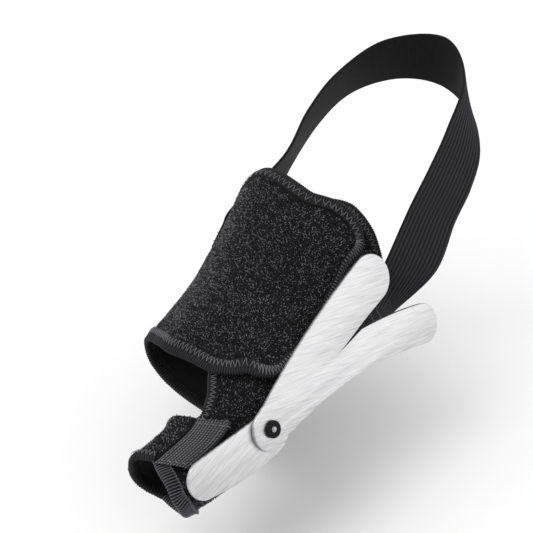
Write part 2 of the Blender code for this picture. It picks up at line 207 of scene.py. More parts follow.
def solid(name, points, faces, pairs=None, finishes=(), which=None):
    """A closed mesh with its faces outward. pairs has each point's place laid flat."""
    points = np.asarray(points, float)
    fans = np.array([(f[0], f[i], f[i + 1]) for f in faces for i in range(1, len(f) - 1)])
    a, b, c = points[fans[:, 0]], points[fans[:, 1]], points[fans[:, 2]]
    if (a * np.cross(b, c)).sum() < 0:
        faces = [face[::-1] for face in faces]
    mesh = bpy.data.meshes.new(name)
    mesh.from_pydata(points.tolist(), [], [list(map(int, face)) for face in faces])
    set_flat(mesh, np.zeros((len(points), 2)) if pairs is None else pairs)
    for material in finishes:
        mesh.materials.append(material)
    if which is not None:
        mesh.polygons.foreach_set("material_index", np.asarray(which, np.int32))
    mesh.shade_smooth()
    return link(name, mesh)


def sheet_between(name, outer, inner, finishes):
    """A sheet between two grids of points, with a rounded edge."""
    rows, columns = outer.shape[:2]
    rim = [(0, j) for j in range(columns)] + [(i, columns - 1) for i in range(1, rows)]
    rim += [(rows - 1, j) for j in range(columns - 2, -1, -1)] + [(i, 0) for i in range(rows - 2, 0, -1)]
    rim_at = np.array([i * columns + j for i, j in rim])
    top, low = outer.reshape(-1, 3), inner.reshape(-1, 3)
    middle = outer.mean(axis=(0, 1))
    u = np.repeat(run_of(outer[:, columns // 2], 0)[:, None], columns, 1).ravel()
    v = run_of(outer, 1).ravel()
    uv = np.stack((u, v), -1)
    points, pairs = [top, low], [uv, uv]
    size = rows * columns
    across = unit(top[rim_at] - low[rim_at])
    way = np.roll(top[rim_at], -1, 0) - np.roll(top[rim_at], 1, 0)
    out = unit(np.cross(way, across))
    out *= np.sign((out * (top[rim_at] - middle)).sum())
    thick = np.linalg.norm(top[rim_at] - low[rim_at], axis=1, keepdims=True)
    rings = [rim_at]
    for k, share in enumerate((0.15, 0.5, 0.85)):
        bulge = 0.42 * thick * math.sqrt(1 - (1 - 2 * share) ** 2)
        rings.append(2 * size + k * len(rim) + np.arange(len(rim)))
        points.append(top[rim_at] * (1 - share) + low[rim_at] * share + out * bulge)
        pairs.append(uv[rim_at])
    rings.append(rim_at + size)
    faces, which = [], []
    for i in range(rows - 1):
        for j in range(columns - 1):
            a = i * columns + j
            quad = (a, a + columns, a + columns + 1, a + 1)
            faces.append(quad)
            faces.append(tuple(size + k for k in quad[::-1]))
            which += [0, 1]
    for upper, lower in zip(rings, rings[1:]):
        for k in range(len(rim)):
            n = (k + 1) % len(rim)
            faces.append((upper[k], upper[n], lower[n], lower[k]))
            which.append(0)
    return solid(name, np.concatenate(points), faces, np.concatenate(pairs), finishes, which)


def linear(colour):
    """A colour in sRGB hex as linear light."""
    parts = [int(colour[i : i + 2], 16) / 255 for i in (1, 3, 5)]
    return (*(p / 12.92 if p <= 0.04045 else ((p + 0.055) / 1.055) ** 2.4 for p in parts), 1)


def node(tree, kind, settings=None, **inputs):
    """A node with its settings, values and links. Spaces in an input's name are underscores."""
    made = tree.nodes.new(kind)
    for key, value in (settings or {}).items():
        setattr(made, key, value)
    for key, value in inputs.items():
        socket = made.inputs[int(key[1:])] if key[1:].isdigit() else made.inputs[key.replace("_", " ")]
        if isinstance(value, bpy.types.NodeSocket):
            tree.links.new(value, socket)
        else:
            socket.default_value = value
    return made


def maths(tree, operation, *values):
    inputs = {f"_{i}": value for i, value in enumerate(values)}
    return node(tree, "ShaderNodeMath", {"operation": operation}, **inputs).outputs[0]


def finish(name, **values):
    """A new material with a Principled shader at these values."""
    made = bpy.data.materials.new(name)
    made.use_nodes = True
    shader = made.node_tree.nodes["Principled BSDF"]
    for key, value in values.items():
        shader.inputs[key.replace("_", " ")].default_value = value
    return made, made.node_tree, shader


def plain_finish(name, colour, **values):
    return finish(name, Base_Color=linear(colour), **values)[0]


def paint(tree, shader, factor, *stops):
    """Colours at places of a factor, as the base colour."""
    made = node(tree, "ShaderNodeValToRGB", Fac=factor)
    band = made.color_ramp
    for i, (place, colour) in enumerate(stops):
        knot = band.elements[i] if i < 2 else band.elements.new(place)
        knot.position = place
        knot.color = linear(colour)
    tree.links.new(made.outputs["Color"], shader.inputs["Base Color"])


def relief(tree, shader, height, strength, depth):
    """Fine relief in the surface, depth deep."""
    made = node(tree, "ShaderNodeBump", Strength=strength, Distance=depth, Height=height)
    tree.links.new(made.outputs["Normal"], shader.inputs["Normal"])


def laid_flat(tree):
    return node(tree, "ShaderNodeUVMap", {"uv_map": "flat_mm"}).outputs["UV"]


def noise(tree, at, scale, detail, **more):
    return node(tree, "ShaderNodeTexNoise", Vector=at, Scale=scale, Detail=detail, **more).outputs["Fac"]


def rows_of_yarn(tree, scale, distortion, detail_scale):
    """Faint uneven bands across the length, as knitted or woven rows make."""
    return node(
        tree, "ShaderNodeTexWave", {"bands_direction": "X"}, Vector=laid_flat(tree), Scale=scale,
        Distortion=distortion, Detail=1.0, Detail_Scale=detail_scale,
    ).outputs["Fac"]


# Black polyester knit under the pile: a dull, dark ground that shows only between the loops.
plush_ground, tree, shader = finish("black_knit_backing", Roughness=0.95, IOR=1.5, Specular_IOR_Level=0.2)
grain = noise(tree, laid_flat(tree), 1.6, 3.0)
paint(tree, shader, grain, (0.35, "#050506"), (0.65, "#161618"))
relief(tree, shader, grain, 0.7, 0.3 * MM)

# Black textured polyester loops with a random tone for each loop: the dark tones are small differences in
# dye, and the pale grey ones are painted glints where the loops' bends catch the light, so the face reads
# as black with fine grey sparks.
plush_loops, tree, shader = finish(
    "black_polyester_loops", Roughness=0.4, IOR=1.58, Specular_IOR_Level=0.3
)
shade = node(tree, "ShaderNodeAttribute", {"attribute_name": "shade"}).outputs["Fac"]
paint(tree, shader, shade, (0.0, "#020203"), (0.32, "#0c0c0e"), (0.62, "#2e2e32"), (1.0, "#8e8e94"))

# Jersey lining: a fine soft knit, even and matt, with faint wales along the foot.
jersey, tree, shader = finish("black_jersey_lining", Roughness=0.88, IOR=1.5, Specular_IOR_Level=0.25)
wales = rows_of_yarn(tree, 0.45, 1.2, 2.0)
paint(tree, shader, wales, (0.2, "#0d0d0f"), (0.9, "#1d1d20"))
relief(tree, shader, wales, 0.5, 0.3 * MM)


def new_tree(name, *sockets):
    """A Geometry Nodes tree with named inputs, its input node and its output node."""
    tree = bpy.data.node_groups.new(name, "GeometryNodeTree")
    tree.interface.new_socket("Geometry", in_out="INPUT", socket_type="NodeSocketGeometry")
    for label, kind in sockets:
        tree.interface.new_socket(label, in_out="INPUT", socket_type="NodeSocket" + kind)
    tree.interface.new_socket("Geometry", in_out="OUTPUT", socket_type="NodeSocketGeometry")
    return tree, tree.nodes.new("NodeGroupInput").outputs, tree.nodes.new("NodeGroupOutput").inputs


def named(tree, name, kind="FLOAT_VECTOR"):
    made = node(tree, "GeometryNodeInputNamedAttribute", {"data_type": kind}, Name=name)
    return made.outputs["Attribute"]


def tree_done(tree, given, result, geometry):
    """Ends a tree: the geometry as plain mesh, in the given finish."""
    real = node(tree, "GeometryNodeRealizeInstances", Geometry=geometry).outputs[0]
    done = node(tree, "GeometryNodeSetMaterial", Geometry=real, Material=given["Finish"])
    tree.links.new(done.outputs[0], result["Geometry"])
    return tree


def mesh_made_by(carrier):
    """The mesh that an object's modifiers or curve settings make."""
    graph = bpy.context.evaluated_depsgraph_get()
    return bpy.data.meshes.new_from_object(carrier.evaluated_get(graph), depsgraph=graph)


def grown(name, base, tree, **values):
    """The plain mesh that a tree makes from a base mesh, which stays as it is."""
    carrier = link(name + "_base", base.data.copy())
    modifier = carrier.modifiers.new("Make", "NODES")
    modifier.node_group = tree
    for socket in tree.interface.items_tree:
        if socket.in_out == "INPUT" and socket.name in values:
            modifier[socket.identifier] = values[socket.name]
    carrier.update_tag()
    mesh = mesh_made_by(carrier)
    mesh.name = name
    carrier.modifiers.clear()
    bpy.data.objects.remove(carrier)
    mesh.shade_smooth()
    return link(name, mesh)


# The pile: bent threads with both ends in the backing, spread at a least distance and leaning
# with the nap. The points' attribute pile says how dense it is, and Seed fixes its chance.
tree, given, result = new_tree(
    "loop_pile", ("Spacing", "Float"), ("Height", "Float"), ("Width", "Float"),
    ("Thread", "Float"), ("Seed", "Int"), ("Finish", "Material"),
)
seeds = node(
    tree, "GeometryNodeDistributePointsOnFaces", {"distribute_method": "POISSON"},
    Mesh=given["Geometry"], Distance_Min=given["Spacing"], Density_Max=4.0e6,
    Density_Factor=named(tree, "pile", "FLOAT"), Seed=given["Seed"],
)
left, right = (maths(tree, "MULTIPLY", given["Width"], share) for share in (-0.5, 0.5))
peak = maths(tree, "MULTIPLY", given["Height"], 2.2)
ends = [node(tree, "ShaderNodeCombineXYZ", X=x, Z=-0.1 * MM).outputs[0] for x in (left, right)]
bend = node(
    tree, "GeometryNodeCurveQuadraticBezier", Resolution=2, Start=ends[0],
    Middle=node(tree, "ShaderNodeCombineXYZ", Z=peak).outputs[0], End=ends[1],
)
thread = node(tree, "GeometryNodeCurvePrimitiveCircle", Resolution=3, Radius=given["Thread"])
loop = node(
    tree, "GeometryNodeCurveToMesh", Curve=bend.outputs[0], Profile_Curve=thread.outputs[0],
    Fill_Caps=True,
)
lean, size = (
    node(
        tree, "FunctionNodeRandomValue", {"data_type": "FLOAT_VECTOR"}, Min=low, Max=high,
        Seed=given["Seed"],
    ).outputs["Value"]
    for low, high in (
        ((-0.55, -0.15, -math.pi), (0.55, 0.15, math.pi)), ((0.75, 0.75, 0.7), (1.25, 1.25, 1.05))
    )
)
turned_by = node(tree, "FunctionNodeEulerToRotation", Euler=lean)
spin = node(
    tree, "FunctionNodeRotateRotation", {"rotation_space": "LOCAL"},
    Rotation=seeds.outputs["Rotation"], Rotate_By=turned_by.outputs[0],
)
planted = node(
    tree, "GeometryNodeInstanceOnPoints", Points=seeds.outputs["Points"],
    Instance=loop.outputs["Mesh"], Rotation=spin.outputs[0], Scale=size,
)
# Each loop gets a random tone: dark ones for small differences in dye, pale ones as painted glints.
chance = node(tree, "FunctionNodeRandomValue", {"data_type": "FLOAT"}, Seed=given["Seed"])
shaded = node(
    tree, "GeometryNodeStoreNamedAttribute", {"data_type": "FLOAT", "domain": "INSTANCE"},
    Geometry=planted.outputs[0], Name="shade", Value=chance.outputs[1],
)
pile_tree = tree_done(tree, given, result, shaded.outputs[0])


def belongs(piece, slot, *nodes, body="wrap"):
    """Puts a piece on the body that it rides on and hides the CAD nodes that it stands for. slot is not
    used.
    """
    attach(piece, body)
    if nodes:
        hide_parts(*nodes)
    return piece


def pile_on(piece, pile, seed):
    """The loops on a sheet's outer points, as dense as pile says for each of them."""
    mask = np.zeros(len(piece.data.vertices), np.float32)
    mask[: pile.size] = pile.ravel()
    store(piece.data, "pile", mask)
    layers = []
    for name, spacing, width in PILE_LAYERS:
        made = grown(
            piece.name + name, piece, pile_tree, Spacing=spacing, Height=PILE_HEIGHT,
            Width=width, Thread=PILE_THREAD, Seed=seed + len(layers), Finish=plush_loops,
        )
        layers.append(belongs(made, "black_plush"))
    piece.data.attributes.remove(piece.data.attributes["pile"])
    return layers


def cloth(name, angle, place, lift, slot, stands_for, layers=BACKING, finishes=()):
    """A sheet on the foot form, which is plush if no finishes are given, and its outer points."""
    inner, outer = (on_cloth(angle, place, height, lift) for height in layers)
    made = sheet_between(name, outer, inner, finishes or (plush_ground, jersey))
    return belongs(made, slot, stands_for), outer


def declare(piece, outer, pieces, **more):
    """Works out a stretched sheet's area in square metres and its flat width and length, and keeps none of
    them.
    """
    a, b = np.diff(outer, axis=0)[:, :-1], np.diff(outer, axis=1)[:-1]
    area = float(np.linalg.norm(np.cross(a, b), axis=-1).sum())
    wide = float(np.linalg.norm(np.diff(outer, axis=0), axis=-1).sum(0).max())
    long = float(np.linalg.norm(np.diff(outer, axis=1), axis=-1).sum(1).max())
    area = min(area, 0.999 * wide * long)


def between_edges(table, angle, share, rear_in=0.0, front_in=0.0):
    """Places at shares of the way from a table's rear edge to its front edge, both drawn in."""
    rear = through(table, 1, angle) + rear_in / FOOT_LENGTH
    front = through(table, 2, angle) - front_in / FOOT_LENGTH
    return rear + (front - rear) * share


share = np.linspace(0, 1, 86)[None, :]
across = np.linspace(0, 1, 78)[:, None]
angle = 10 + 0 * share * across
for _ in range(8):
    place = between_edges(PANEL_EDGES, angle, share, BOUND_INSET, BOUND_INSET)
    lower, upper = through(PANEL_SIDES, 1, place), through(PANEL_SIDES, 2, place)
    upper = upper - np.degrees(BOUND_INSET / (BALL_WIDTH * 0.45))
    angle = upper + (lower - upper) * across
panel, panel_outer = cloth("medial_panel_cloth", angle, place, no_lift, "black_plush", "medial_panel")
rear_free = (place - through(PANEL_EDGES, 1, angle)) * FOOT_LENGTH - REAR_BAND
front_free = (through(PANEL_EDGES, 2, angle) - place) * FOOT_LENGTH - CUFF_BAND
upper_free = np.radians(upper - angle) * BALL_WIDTH * 0.42 - STRAP_BAND + BOUND_INSET
bare = np.minimum(np.minimum(rear_free, front_free), upper_free) < BARE_MARGIN
bare |= (angle > UNDER_FLAP[0]) & (place > UNDER_FLAP[1]) & (place < UNDER_FLAP[2])
pile = np.where(angle < PANEL_SOLE[0], PANEL_SOLE[1], 1.0)
panel_pile = pile_on(panel, np.where(bare, 0, pile), 11)

# Panel bindings: black ribbed ribbon folded over the cut edges of the panel and zigzagged
# through. The rear one is narrow, one edges the web of the toes, and a wider one is the cuff
# of the toe sleeve.

RIB_PITCH = 1.05 * MM
RIBBON = 0.42 * MM
SEWING_THREAD = 0.12 * MM
HEAVY_THREAD = 0.17 * MM
OVER_RIBS = 0.34 * MM

# Ribbed polyester ribbon: a tight, slightly glossy weave, ribbed across about every millimetre.
ribbon, tree, shader = finish("black_ribbed_ribbon", Roughness=0.7, IOR=1.55, Specular_IOR_Level=0.2)
weave = noise(tree, laid_flat(tree), 2.4, 2.0)
paint(tree, shader, weave, (0.35, "#040405"), (0.7, "#0c0c0d"))
relief(tree, shader, weave, 0.4, 0.2 * MM)

# The ribs are painted lighter than the ribbon between them, a painted highlight for the light that they
# catch.
rib_finish = plain_finish(
    "black_ribbon_ribs", "#26262a", Roughness=0.55, IOR=1.55, Specular_IOR_Level=0.3
)

# The cuff's ribs are painted paler still, a stronger painted highlight than on the other bindings.
cuff_ribs = plain_finish(
    "grey_ribbon_ribs", "#5c5c62", Roughness=0.5, IOR=1.55, Specular_IOR_Level=0.35
)

# Bonded polyester thread: smooth and dark grey, with a clean highlight along each stitch.
thread_finish = plain_finish("grey_black_thread", "#6e6e73", Roughness=0.38, IOR=1.58)

# One shape set at every pitch along a path, turned to the cloth there.
tree, given, result = new_tree(
    "set_along_path", ("Shape", "Object"), ("Pitch", "Float"), ("Finish", "Material")
)
runs = node(tree, "GeometryNodeMeshToCurve", Mesh=given["Geometry"])
evenly = node(
    tree, "GeometryNodeResampleCurve", {"mode": "LENGTH"}, Curve=runs.outputs[0],
    Length=given["Pitch"],
)
facing = node(
    tree, "FunctionNodeAxesToRotation", {"primary_axis": "Z", "secondary_axis": "X"},
    Primary_Axis=named(tree, "outward"), Secondary_Axis=named(tree, "inward"),
)
shape = node(tree, "GeometryNodeObjectInfo", Object=given["Shape"])
wide = node(tree, "ShaderNodeCombineXYZ", X=named(tree, "stretch", "FLOAT"), Y=1.0, Z=1.0)
placed = node(
    tree, "GeometryNodeInstanceOnPoints", Points=evenly.outputs[0],
    Instance=shape.outputs["Geometry"], Rotation=facing.outputs[0], Scale=wide.outputs[0],
)
path_tree = tree_done(tree, given, result, placed.outputs[0])


def parts_of(cuts, *grids):
    """The same parts of several grids, as runs for set_along."""
    return [tuple(grid[cut] for grid in grids) for cut in cuts]


def set_along(name, runs, shape, pitch, material):
    """Sets a shape along runs, which have points, directions into the cloth and out of it, and
    in some the stretch of the shape there. The shape itself is removed."""
    mesh = bpy.data.meshes.new("path")
    lengths = [len(run[0]) for run in runs]
    starts = np.cumsum([0] + lengths).tolist()
    edges = [(k + i, k + i + 1) for k, length in zip(starts, lengths) for i in range(length - 1)]
    mesh.from_pydata(np.concatenate([run[0] for run in runs]).tolist(), edges, [])
    store(mesh, "inward", np.concatenate([run[1] for run in runs]))
    store(mesh, "outward", np.concatenate([run[2] for run in runs]))
    store(mesh, "stretch", np.concatenate([run[3] if run[3:] else np.ones(len(run[0])) for run in runs]))
    base = link("path", mesh)
    made = grown(name, base, path_tree, Shape=shape, Pitch=pitch, Finish=material)
    bpy.data.objects.remove(base)
    bpy.data.objects.remove(shape)
    return made


def tube_faces(rings, around, capped=True):
    """Faces between rings of points, and over both ends."""
    faces = [
        (a + k, a + (k + 1) % around, a + around + (k + 1) % around, a + around + k)
        for a in range(0, (rings - 1) * around, around)
        for k in range(around)
    ]
    last = (rings - 1) * around
    ends = [tuple(range(around))[::-1], tuple(range(last, last + around))]
    return faces + ends if capped else faces


def tube(points, radius, sides=4):
    """A thread through points, as points and faces, with closed ends."""
    points = np.asarray(points, float)
    way = unit(np.gradient(points, axis=0))
    side = unit(np.cross(way, (0, 0, 1)))
    up = np.cross(side, way)
    turn = np.linspace(0, 2 * math.pi, sides, endpoint=False)
    ring = np.cos(turn)[None, :, None] * side[:, None] + np.sin(turn)[None, :, None] * up[:, None]
    made = (points[:, None] + ring * radius).reshape(-1, 3)
    return made, tube_faces(len(points), sides)


def threads(name, paths, radius):
    """One shape made of several threads."""
    points, faces = [], []
    for path in paths:
        made, quads = tube(path, radius)
        start = sum(map(len, points))
        faces += [tuple(start + k for k in quad) for quad in quads]
        points.append(made)
    return solid(name, np.concatenate(points), faces)


def zigzag(name, middle, swing, height, pitch):
    """One zig and one zag about a distance from the edge, each dipping in at its holes."""
    legs = []
    for a, b, start in ((middle - swing, middle + swing, 0.02), (middle + swing, middle - swing, 0.52)):
        share = np.linspace(0, 1, 5)
        arch = np.sin(share * math.pi)
        lift = height + 0.20 * MM * arch - 0.22 * MM * (1 - arch) ** 4
        legs.append(np.stack((a + (b - a) * share, pitch * (start + 0.46 * share), lift), -1))
    return threads(name, legs, SEWING_THREAD)


def straight_stitches(name, runs, ends, heights, pitch):
    """Straight stitches along runs. ends has where one starts, lies, leaves and ends."""
    knots = [(0, y * MM, z * MM) for y, z in zip(ends, heights)]
    dash = threads(name + "_dash", [knots], HEAVY_THREAD)
    return set_along(name, runs, dash, pitch, thread_finish)


TOP, LOW, FOLD = 2.34 * MM, 0.06 * MM, 1.14 * MM


def ribbon_section(width):
    """The folded ribbon from its upper end round the fold to its lower end: outer and inner line."""
    turn = np.radians(np.linspace(90, 270, 9))
    middle = (TOP + LOW) / 2
    outer = [(width, TOP - RIBBON), (width - 0.25 * MM, TOP - 0.2 * MM), (width - 0.9 * MM, TOP)]
    outer += [(FOLD * 1.6, TOP + 0.02 * MM)]
    outer += [(FOLD + FOLD * math.cos(a), middle + FOLD * math.sin(a)) for a in turn]
    outer += [(width * 0.6, LOW), (width * 0.9, LOW)]
    thin = FOLD - RIBBON
    inner = [(width * 0.9, LOW + RIBBON), (width * 0.6, LOW + RIBBON)]
    inner += [(FOLD + thin * math.cos(a), middle + thin * math.sin(a)) for a in turn[::-1]]
    inner += [(width - 0.9 * MM, TOP - RIBBON), (width, TOP - 0.66 * MM)]
    return outer, inner


def edge_run(angle, place, inside, lift):
    """For each point of an edge: how the angle and the place change with distance into the cloth."""
    by_angle, by_place, normal = tangents(angle, place, lift)
    way = unit(np.gradient(on_foot(angle, place, lift(angle, place)), axis=0))
    into = np.cross(normal, way) * inside
    square = (by_angle * by_place).sum(-1)
    aa, pp = (by_angle**2).sum(-1), (by_place**2).sum(-1)
    a, p = (into * by_angle).sum(-1), (into * by_place).sum(-1)
    det = aa * pp - square**2
    return (a * pp - p * square) / det, (p * aa - a * square) / det, into, normal


def binding(name, angle, place, inside, width, lift, nodes, seams, stretch=1.0, ribs=rib_finish):
    """A folded ribbon on an edge, its ribs and its zigzags, which stand for some CAD nodes.
    seams has first and last station of each zigzag, and its middle, swing and pitch in
    millimetres. stretch is the ribbon's width along the edge as a share of width."""
    stretch = stretch + 0 * angle
    turn, step, into, normal = edge_run(angle, place, inside, lift)
    outer, inner = ribbon_section(width)
    section = np.array(outer + inner)
    t, h = section[:, 0][None, :] * stretch[:, None], section[:, 1][None, :]
    grid = on_cloth(angle[:, None] + turn[:, None] * t, place[:, None] + step[:, None] * t, h, lift)
    stations, ring = grid.shape[:2]
    faces = tube_faces(stations, ring, capped=False)
    half = len(outer)
    for base in (0, (stations - 1) * ring):
        for k in range(half - 1):
            mirror = [half + round((half - 1 - m) * (len(inner) - 1) / (half - 1)) for m in (k, k + 1)]
            quad = [base + k, base + k + 1, base + mirror[1], base + mirror[0]]
            quad = list(dict.fromkeys(quad))
            faces.append(tuple(quad if base == 0 else quad[::-1]))
    u = np.repeat(run_of(grid[:, 0], 0)[:, None], ring, 1).ravel()
    round_it = np.cumsum(np.linalg.norm(np.diff(section, axis=0, prepend=section[:1]), axis=1))
    flat = np.stack((u, np.tile(round_it / MM, stations)), -1)
    made = solid(name, grid.reshape(-1, 3), faces, flat, [ribbon])
    edge = (on_cloth(angle, place, 0.0, lift), into, normal, stretch)
    bars = np.array(outer[1:-1])
    away = np.gradient(bars, axis=0)
    away = np.stack((away[:, 1], -away[:, 0]), -1)
    away /= np.linalg.norm(away, axis=1, keepdims=True)
    away *= np.sign((away * (bars - (width / 2, (TOP + LOW) / 2))).sum()) or 1
    profile = ((-0.21, -0.10), (-0.13, 0.14), (0.0, 0.24), (0.13, 0.14), (0.21, -0.10))
    points = [
        (spot[0] + out[0] * z * MM, y * MM, spot[1] + out[1] * z * MM)
        for spot, out in zip(bars, away)
        for y, z in profile
    ]
    bar = solid(name + "_bar", points, tube_faces(len(bars), len(profile)))
    pieces = [made, set_along(name + "_ribs", [edge], bar, RIB_PITCH, ribs)]
    for k, (first, last, *sizes) in enumerate(seams):
        middle, swing, pitch = (value * MM for value in sizes)
        sewn = zigzag(name + "_zig", middle, swing, TOP + OVER_RIBS, pitch)
        label = name + "_stitches" + (f"_{k + 1}" if k else "")
        part = parts_of([slice(first, last)], *edge)
        pieces.append(set_along(label, part, sewn, pitch, thread_finish))
    for piece in pieces:
        belongs(piece, "black_ribbon", *(nodes if piece is made else ()))
    return pieces


angle = spread(97, -72, -0.15, 1.0 * MM)
edgings = binding(
    "rear_binding", angle, through(PANEL_EDGES, 1, angle), -1, REAR_BAND, no_lift,
    ["panel_rear_band"], [(0, None, 3.6, 1.2, 2.6)],
)
angle = spread(121.5, -99.5, 0.42, 1.2 * MM)
edgings += binding(
    "cuff_binding", angle, through(PANEL_EDGES, 2, angle), 1, CUFF_BAND, no_lift,
    ["toe_cuff_band"], [(0, None, 5.1, 0.45, 1.3)], ribs=cuff_ribs,
)
place = np.linspace(-0.098, 0.386, 110)
edgings += binding(
    "web_binding", through(PANEL_SIDES, 2, place), place, 1, STRAP_BAND, no_lift,
    ["panel_web_band"], [(0, None, 2.6, 1.1, 1.8)],
)
declare(panel, panel_outer, [*panel_pile, *edgings])

# Wrap flap: plush that is sewn to the panel under the sole, goes round the outer side and over
# the instep, and sticks down on the panel beside the splints. One ribbon binds its rear edge,
# its end and its front edge, round two soft corners.

FLAP_END = 30
FLAP_SLANT = 18
LAP_START = 106
LAP_FULL = 148
LAYER = 3.5 * MM
FLAP_INSET = 1.4 * MM
FRONT_BAND = 6.4 * MM
END_BAND = 4.4 * MM
CORNER = 6.0 * MM
# radius of the form where the flap ends
END_RADIUS = 34 * MM
# angle where the sole begins, and the pile's density there
FLAP_SOLE = (235, 0.4)
# angle, rear edge, front edge
FLAP_EDGES = (
    (288, -0.080, 0.200),
    (230, -0.080, 0.200),
    (180, -0.080, 0.205),
    (140, -0.095, 0.232),
    (110, -0.101, 0.252),
    (80, -0.094, 0.249),
    (62, -0.116, 0.234),
    (46, -0.128, 0.208),
    (30, -0.122, 0.198),
)


def ease(x):
    x = np.clip(x, 0.0, 1.0)
    return x * x * (3 - 2 * x)


def lap(angle, place):
    """Lift of a layer that lies on the panel at small angles and on the foot at large ones."""
    return LAYER * ease((LAP_FULL - angle) / (LAP_FULL - LAP_START)) + 0 * place


def flap_cut(angle, place):
    """The flap's end is cut on a slant: its rows turn back from the sole towards the front."""
    rear, front = through(FLAP_EDGES, 1, angle), through(FLAP_EDGES, 2, angle)
    share = np.clip((place - rear) / (front - rear), 0, 1)
    return angle + FLAP_SLANT * ease((LAP_START - angle) / (LAP_START - FLAP_END)) * share**2


def round_corner(from_edge):
    """How far an end edge draws back at a distance from the side edge."""
    near = np.clip(CORNER - from_edge, 0, CORNER)
    return CORNER - np.sqrt(CORNER**2 - near**2)


def degrees_round(length, angle, place):
    """Angle that a length spans on the form."""
    return length / np.linalg.norm(tangents(angle, place, no_lift)[0], axis=-1)


# The path of the binding: the rear edge, the end and the front edge, in angle and place.
rear_angle = spread(286.5, FLAP_END, -0.1, 1.2 * MM)
rear_place = through(FLAP_EDGES, 1, rear_angle)
front_angle = rear_angle[::-1]
front_place = through(FLAP_EDGES, 2, front_angle)
end_place = np.linspace(rear_place[-1], front_place[0], 60)[1:-1]
corners = np.concatenate(
    (
        np.stack((rear_angle, rear_place), -1),
        np.stack((0 * end_place + FLAP_END, end_place), -1),
        np.stack((front_angle, front_place), -1),
    )
)
corners[:, 0] = flap_cut(corners[:, 0], corners[:, 1])
line = on_foot(corners[:, 0], corners[:, 1])
run = run_of(line, 0) * MM
even = np.linspace(0, run[-1], int(run[-1] / (1.1 * MM)))
path = np.stack([np.interp(even, run, corners[:, k]) for k in (0, 1)], -1)
reach = int(CORNER * 1.35 / (even[1] - even[0]))
for turn_at in (run[len(rear_angle) - 1], run[len(rear_angle) + len(end_place)]):
    middle = int(np.searchsorted(even, turn_at))
    a, b = path[middle - reach].copy(), path[middle + reach].copy()
    corner = path[middle].copy()
    for k in range(-reach, reach + 1):
        s = (k + reach) / (2 * reach)
        path[middle + k] = a * (1 - s) ** 2 + corner * 2 * s * (1 - s) + b * s * s
ends_at, starts_at = (
    int(np.searchsorted(even, run[len(rear_angle) + k])) for k in (-1, len(end_place))
)
station = np.arange(len(path))
stretch = np.interp(
    station, (ends_at - 8, ends_at + 8, starts_at - 8, starts_at + 8),
    (REAR_BAND / FRONT_BAND, END_BAND / FRONT_BAND, END_BAND / FRONT_BAND, 1.0),
)
edgings = binding(
    "flap_binding", path[:, 0], path[:, 1], -1, FRONT_BAND, lap,
    ["flap_rear_band", "flap_end_band", "flap_front_band"],
    [
        (0, ends_at - 2, 4.3, 1.6, 2.8),
        (ends_at - 3, starts_at + 3, 3.9, 2.3, 1.5),
        (starts_at + 2, None, 4.4, 1.5, 2.0),
    ],
    stretch,
)

share = np.linspace(0, 1, 58)[None, :]
angle = spread(287.6, FLAP_END + 1.5, 0.06)[:, None] + 0 * share
place = between_edges(FLAP_EDGES, angle, share, FLAP_INSET, FLAP_INSET)
side = np.minimum(place - through(FLAP_EDGES, 1, angle), through(FLAP_EDGES, 2, angle) - place)
side = side * FOOT_LENGTH
drawn = degrees_round(round_corner(side), FLAP_END + 4 + 0 * angle, place)
angle = angle + drawn * np.clip((140 - angle) / 100, 0, 1)
end_free = np.radians(angle - FLAP_END) * END_RADIUS
pile = np.where(angle > FLAP_SOLE[0], FLAP_SOLE[1], 1.0)
angle = flap_cut(angle, place)
flap, outer = cloth("wrap_flap_cloth", angle, place, lap, "black_plush", "wrap_flap")
bare = (side < np.where(place < 0.05, REAR_BAND, FRONT_BAND)) | (end_free < END_BAND)
flap_pile = pile_on(flap, np.where(bare, 0, pile), 5)
declare(flap, outer, [*flap_pile, *edgings], rests_on=["medial_panel_cloth"])

# Toe strap and hook tape: a narrow plush strap sewn under the toe sleeve, pulled over the big
# toe from its outer side, with a woven hook tape on its end that grips the plush of the panel.

STRAP_START = 259
TAPE_START = 94
TAPE_END = 56
TOE_LAP_START = 124
TOE_LAP_FULL = 160
TAPE = (0.15 * MM, 0.85 * MM)
# angle, rear edge, front edge
STRAP_EDGES = (
    (259, 0.335, 0.405),
    (200, 0.335, 0.430),
    (150, 0.335, 0.440),
    (110, 0.328, 0.434),
    (94, 0.322, 0.428),
    (56, 0.287, 0.396),
)


def toe_lap(angle, place):
    return LAYER * ease((TOE_LAP_FULL - angle) / (TOE_LAP_FULL - TOE_LAP_START)) + 0 * place


share = np.linspace(0, 1, 16)[None, :]
angle = spread(STRAP_START, TAPE_START + 1.0, 0.38, 1.1 * MM)[:, None] + 0 * share
place = between_edges(STRAP_EDGES, angle, share, SEAM_GAP, BOUND_INSET)
near_end = TAPE_START + 1.0
seam_gap = 360 + through(PANEL_SIDES, 1, place) - STRAP_START
angle = angle + seam_gap * (angle - near_end) / (STRAP_START - near_end)
strap, outer = cloth("toe_strap_cloth", angle, place, toe_lap, "black_plush", "toe_strap")
bare = (through(STRAP_EDGES, 2, angle) - place) * FOOT_LENGTH < STRAP_BAND + BARE_MARGIN
strap_pile = pile_on(strap, np.where(bare, 0, 1), 7)
angle = spread(STRAP_START + 1.4, TAPE_START + 0.5, 0.42, 1.1 * MM)
edgings = binding(
    "strap_binding", angle, through(STRAP_EDGES, 2, angle), 1, STRAP_BAND, toe_lap,
    ["toe_strap_band"], [(0, None, 2.6, 1.1, 1.8)],
)
declare(strap, outer, [*strap_pile, *edgings], rests_on=["medial_panel_cloth"])

# Woven nylon hook tape: a stiff, slightly shiny plain weave of black nylon, with the weft as small pillows
# about a millimetre long, painted grey as a highlight where their crowns catch the light.
tape_ground = plain_finish("black_nylon_tape_ground", "#060607", Roughness=0.6, IOR=1.53)
weft = plain_finish("black_nylon_weft", "#68686e", Roughness=0.42, IOR=1.53)

